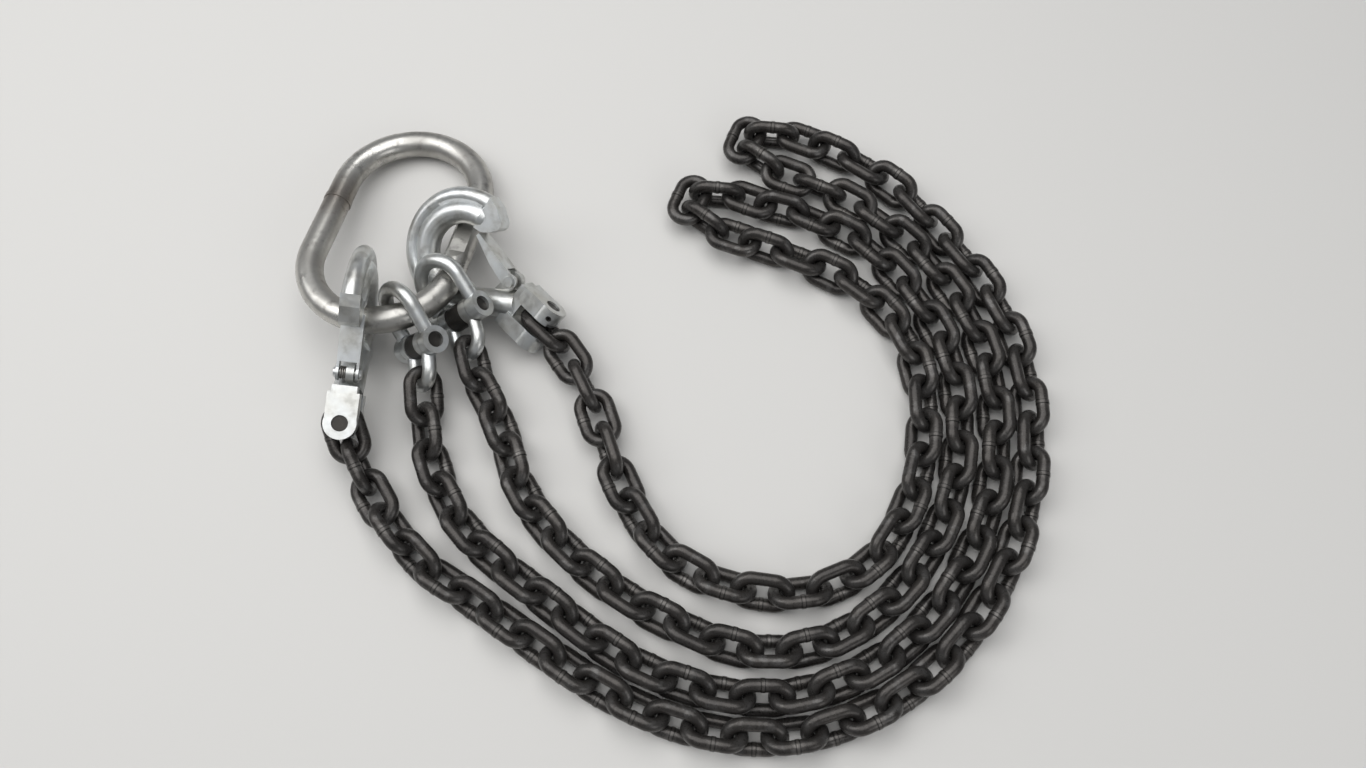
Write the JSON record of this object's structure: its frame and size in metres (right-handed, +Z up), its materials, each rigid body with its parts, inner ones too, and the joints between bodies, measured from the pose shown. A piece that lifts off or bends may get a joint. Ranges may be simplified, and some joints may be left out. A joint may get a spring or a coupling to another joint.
{
  "type": "chain sling",
  "caption": "Doubled-back chain sling lying flat: oblong master link, coupling links, dark steel chain legs and clevis hooks with latches stored on the master link.",
  "frame": {"origin": "middle of the plan outline, on the floor", "axes": "+X to the right of the picture, +Y away from the viewer, +Z up"},
  "size_m": [0.6084, 0.5379, 0.1073],
  "materials": {
    "dark_chain": "dark oiled coating, satin",
    "galvanised": "satin galvanised",
    "zinc": "bright zinc, lightly grained",
    "pin_steel": "turned, unplated, oiled dark",
    "spring_steel": "drawn spring wire"
  },
  "bodies": {
    "base": {"coupling_1_lower": "zinc", "coupling_2_lower": "zinc", "leg_1_out_1": "dark_chain", "leg_1_back_1": "dark_chain", "leg_2_out_1": "dark_chain", "leg_2_back_1": "dark_chain"},
    "master": {"master_link": "galvanised"},
    "coupling_1_top": {"coupling_1_upper": "zinc", "coupling_1_pin": "pin_steel", "coupling_1_sleeve": "pin_steel"},
    "hook_1": {"hook_1_body": "zinc", "hook_1_load_pin": "pin_steel", "hook_1_retaining_pin": "pin_steel", "hook_1_latch_rivet": "zinc", "hook_1_latch_spring": "spring_steel"},
    "hook_1_latch_plate": {"hook_1_latch": "zinc"},
    "leg_1_part_1": {"leg_1_out_2": "dark_chain", "leg_1_back_2": "dark_chain"},
    "leg_1_part_2": {"leg_1_out_3": "dark_chain", "leg_1_back_3": "dark_chain"},
    "leg_1_part_3": {"leg_1_out_4": "dark_chain", "leg_1_back_4": "dark_chain"},
    "leg_1_part_4": {"leg_1_out_5": "dark_chain", "leg_1_back_5": "dark_chain", "leg_1_turn": "dark_chain"},
    "coupling_2_top": {"coupling_2_upper": "zinc", "coupling_2_pin": "pin_steel", "coupling_2_sleeve": "pin_steel"},
    "hook_2": {"hook_2_body": "zinc", "hook_2_load_pin": "pin_steel", "hook_2_retaining_pin": "pin_steel", "hook_2_latch_rivet": "zinc", "hook_2_latch_spring": "spring_steel"},
    "hook_2_latch_plate": {"hook_2_latch": "zinc"},
    "leg_2_part_1": {"leg_2_out_2": "dark_chain", "leg_2_back_2": "dark_chain"},
    "leg_2_part_2": {"leg_2_out_3": "dark_chain", "leg_2_back_3": "dark_chain"},
    "leg_2_part_3": {"leg_2_out_4": "dark_chain", "leg_2_back_4": "dark_chain"},
    "leg_2_part_4": {"leg_2_out_5": "dark_chain", "leg_2_back_5": "dark_chain", "leg_2_turn": "dark_chain"}
  },
  "joints": [
    {"name": "master_link_swivel", "type": "hinge", "parent": "base", "child": "master", "pos_m": [-0.23452, 0.11187, 0.03777], "axis": [0.0364, 0.1873, 0.9816], "range_deg": [-8, 2]},
    {"name": "coupling_1_swing", "type": "hinge", "parent": "base", "child": "coupling_1_top", "pos_m": [-0.19775, 0.03943, 0.03351], "axis": [0.6287, -0.1336, 0.766], "range_deg": [-8, 0]},
    {"name": "coupling_2_swing", "type": "hinge", "parent": "base", "child": "coupling_2_top", "pos_m": [-0.16795, 0.06644, 0.0298], "axis": [0.7544, 0.133, 0.6428], "range_deg": [-4, 2]},
    {"name": "hook_1_swing", "type": "hinge", "parent": "base", "child": "hook_1", "pos_m": [-0.2535, -0.026, 0.0298], "axis": [0.1852, -0.2857, 0.9403], "range_deg": [0, 5]},
    {"name": "hook_2_swing", "type": "hinge", "parent": "base", "child": "hook_2", "pos_m": [-0.1055, 0.062, 0.0228], "axis": [0.6245, 0.5525, 0.5519], "range_deg": [0, 1.5]},
    {"name": "hook_1_latch_hinge", "type": "hinge", "parent": "hook_1", "child": "hook_1_latch_plate", "pos_m": [-0.24703, 0.00837, 0.05173], "axis": [-0.9768, 0.0512, 0.2079], "range_deg": [0, 14], "stiffness_Nm_per_rad": 0.08, "springref_deg": -20.05},
    {"name": "hook_2_latch_hinge", "type": "hinge", "parent": "hook_2", "child": "hook_2_latch_plate", "pos_m": [-0.12641, 0.09559, 0.03458], "axis": [-0.3046, -0.4784, 0.8236], "range_deg": [0, 14], "stiffness_Nm_per_rad": 0.08, "springref_deg": -20.05},
    {"name": "leg_1_lift_1", "type": "hinge", "parent": "base", "child": "leg_1_part_1", "pos_m": [0.14065, -0.2147, 0.01353], "axis": [0.7266, -0.687, 0], "range_deg": [0, 5.5]},
    {"name": "leg_1_lift_2", "type": "hinge", "parent": "leg_1_part_1", "child": "leg_1_part_2", "pos_m": [0.26271, -0.02793, 0.01353], "axis": [0.961, 0.2764, 0], "range_deg": [0, 8.5]},
    {"name": "leg_1_lift_3", "type": "hinge", "parent": "leg_1_part_2", "child": "leg_1_part_3", "pos_m": [0.22994, 0.11092, 0.01353], "axis": [0.9605, 0.2783, 0], "range_deg": [0, 8.5]},
    {"name": "leg_1_lift_4", "type": "hinge", "parent": "leg_1_part_3", "child": "leg_1_part_4", "pos_m": [0.19233, 0.15513, 0.01479], "axis": [0.9432, 0.3314, -0.0248], "range_deg": [0, 7.5]},
    {"name": "leg_2_lift_1", "type": "hinge", "parent": "base", "child": "leg_2_part_1", "pos_m": [0.21761, -0.09161, 0.01353], "axis": [0.8066, -0.5911, 0], "range_deg": [0, 6]},
    {"name": "leg_2_lift_2", "type": "hinge", "parent": "leg_2_part_1", "child": "leg_2_part_2", "pos_m": [0.23503, -0.0072, 0.01353], "axis": [0.9416, 0.3367, 0], "range_deg": [0, 8.5]},
    {"name": "leg_2_lift_3", "type": "hinge", "parent": "leg_2_part_2", "child": "leg_2_part_3", "pos_m": [0.22802, 0.04988, 0.01353], "axis": [0.9361, 0.3518, 0], "range_deg": [0, 3]},
    {"name": "leg_2_lift_4", "type": "hinge", "parent": "leg_2_part_3", "child": "leg_2_part_4", "pos_m": [0.1115, 0.16959, 0.01606], "axis": [0.3606, 0.9327, -0.0052], "range_deg": [0, 4.5]}
  ]
}
